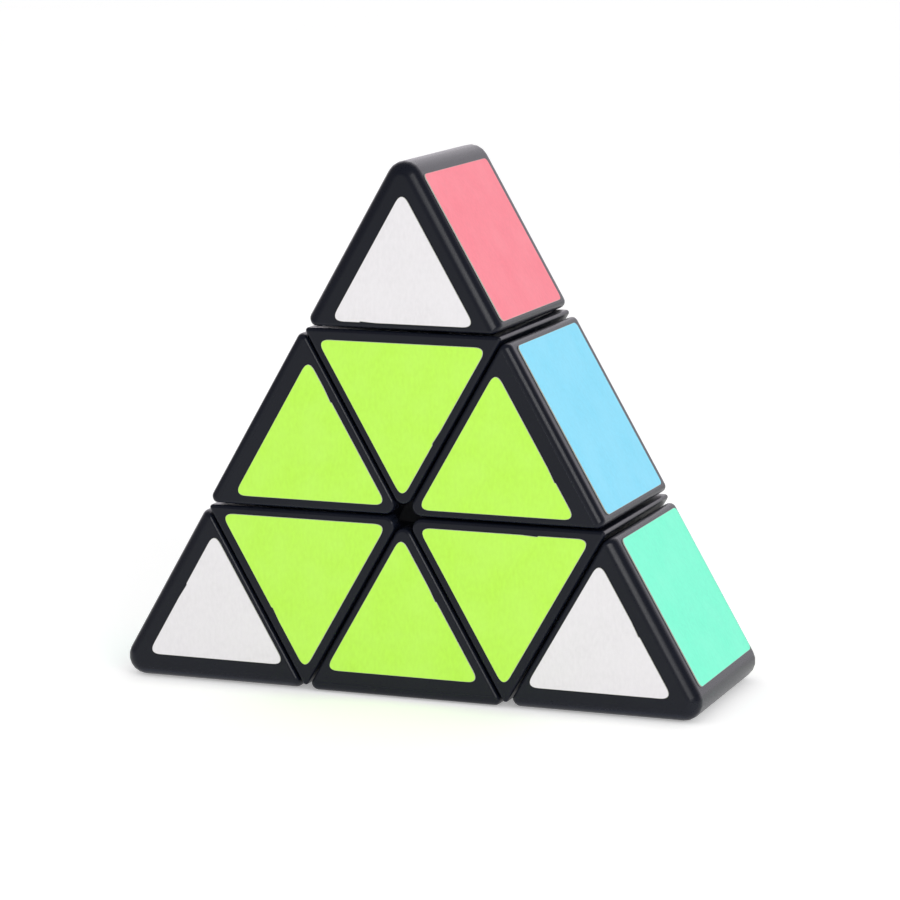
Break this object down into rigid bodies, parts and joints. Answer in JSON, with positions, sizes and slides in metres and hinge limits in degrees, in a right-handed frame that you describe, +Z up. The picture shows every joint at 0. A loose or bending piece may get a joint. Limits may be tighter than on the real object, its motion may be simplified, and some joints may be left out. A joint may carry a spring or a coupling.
{
  "type": "triangular twisty puzzle",
  "caption": "Flat triangular twisty puzzle with turning corner tips and three layers that turn about axes through its centre.",
  "frame": {"origin": "bottom centre of the puzzle standing on one narrow side", "axes": "+X along the bottom side, +Y through the thickness from front to back, +Z up to the top corner"},
  "size_m": [0.0862, 0.0298, 0.0754],
  "materials": {
    "black_plastic": "black moulded ABS, satin with a fine moulding grain",
    "core_plastic": "dark grey moulded nylon",
    "screw_steel": "bright zinc-plated steel",
    "washer_steel": "plain stamped steel",
    "spring_steel": "drawn spring wire",
    "sticker_white": "printed vinyl film, fine matte grain",
    "sticker_green": "printed vinyl film, fine matte grain",
    "sticker_pink": "printed vinyl film, fine matte grain",
    "sticker_blue": "printed vinyl film, fine matte grain",
    "sticker_mint": "printed vinyl film, fine matte grain"
  },
  "bodies": {
    "core": {"core_ball": "core_plastic", "screw_top": "screw_steel", "screw_left": "screw_steel", "screw_right": "screw_steel", "washer_top": "washer_steel", "washer_left": "washer_steel", "washer_right": "washer_steel", "spring_top": "spring_steel", "spring_left": "spring_steel", "spring_right": "spring_steel"},
    "axial_top": {"axial_top_body": "black_plastic", "axial_top_plate": "black_plastic", "sticker_axial_top_front": "sticker_green", "sticker_axial_top_back": "sticker_white"},
    "tip_top": {"tip_top_shell": "black_plastic", "tip_top_base": "black_plastic", "sticker_tip_top_front": "sticker_white", "sticker_tip_top_back": "sticker_green", "sticker_tip_top_right": "sticker_pink", "sticker_tip_top_left": "sticker_blue"},
    "axial_left": {"axial_left_body": "black_plastic", "axial_left_plate": "black_plastic", "sticker_axial_left_front": "sticker_green", "sticker_axial_left_back": "sticker_white"},
    "tip_left": {"tip_left_shell": "black_plastic", "tip_left_base": "black_plastic", "sticker_tip_left_front": "sticker_white", "sticker_tip_left_back": "sticker_green", "sticker_tip_left_outer": "sticker_mint", "sticker_tip_left_bottom": "sticker_pink"},
    "axial_right": {"axial_right_body": "black_plastic", "axial_right_plate": "black_plastic", "sticker_axial_right_front": "sticker_green", "sticker_axial_right_back": "sticker_white"},
    "tip_right": {"tip_right_shell": "black_plastic", "tip_right_base": "black_plastic", "sticker_tip_right_front": "sticker_white", "sticker_tip_right_back": "sticker_green", "sticker_tip_right_outer": "sticker_mint", "sticker_tip_right_bottom": "sticker_blue"},
    "edge_left": {"edge_left_body": "black_plastic", "edge_left_cap": "black_plastic", "sticker_edge_left_front": "sticker_green", "sticker_edge_left_back": "sticker_white", "sticker_edge_left_side": "sticker_pink"},
    "edge_right": {"edge_right_body": "black_plastic", "edge_right_cap": "black_plastic", "sticker_edge_right_front": "sticker_green", "sticker_edge_right_back": "sticker_white", "sticker_edge_right_side": "sticker_blue"},
    "edge_bottom": {"edge_bottom_body": "black_plastic", "edge_bottom_cap": "black_plastic", "sticker_edge_bottom_front": "sticker_green", "sticker_edge_bottom_back": "sticker_white", "sticker_edge_bottom_side": "sticker_mint"}
  },
  "joints": [
    {"name": "top_layer_turn", "type": "hinge", "parent": "core", "child": "axial_top", "pos_m": [0, 0, 0.02613], "axis": [0, 0, 1], "range_deg": [-180, 180]},
    {"name": "left_layer_turn", "type": "hinge", "parent": "core", "child": "axial_left", "pos_m": [0, 0, 0.02613], "axis": [-0.866, 0, -0.5], "range_deg": [-180, 180]},
    {"name": "right_layer_turn", "type": "hinge", "parent": "core", "child": "axial_right", "pos_m": [0, 0, 0.02613], "axis": [0.866, 0, -0.5], "range_deg": [-180, 180]},
    {"name": "top_tip_turn", "type": "hinge", "parent": "axial_top", "child": "tip_top", "pos_m": [0, 0, 0.02613], "axis": [0, 0, 1], "continuous": true},
    {"name": "left_tip_turn", "type": "hinge", "parent": "axial_left", "child": "tip_left", "pos_m": [0, 0, 0.02613], "axis": [-0.866, 0, -0.5], "continuous": true},
    {"name": "right_tip_turn", "type": "hinge", "parent": "axial_right", "child": "tip_right", "pos_m": [0, 0, 0.02613], "axis": [0.866, 0, -0.5], "continuous": true},
    {"name": "left_edge_carry", "type": "hinge", "parent": "axial_top", "child": "edge_left", "pos_m": [0, 0, 0.02613], "axis": [-0.866, 0, -0.5], "range_deg": [-180, 180]},
    {"name": "right_edge_carry", "type": "hinge", "parent": "axial_right", "child": "edge_right", "pos_m": [0, 0, 0.02613], "axis": [0, 0, 1], "range_deg": [-180, 180]},
    {"name": "bottom_edge_carry", "type": "hinge", "parent": "axial_left", "child": "edge_bottom", "pos_m": [0, 0, 0.02613], "axis": [0.866, 0, -0.5], "range_deg": [-180, 180]}
  ],
  "couplings": [
    {"joint": "left_edge_carry", "follows": "left_layer_turn", "ratio": 1},
    {"joint": "right_edge_carry", "follows": "top_layer_turn", "ratio": 1},
    {"joint": "bottom_edge_carry", "follows": "right_layer_turn", "ratio": 1}
  ]
}
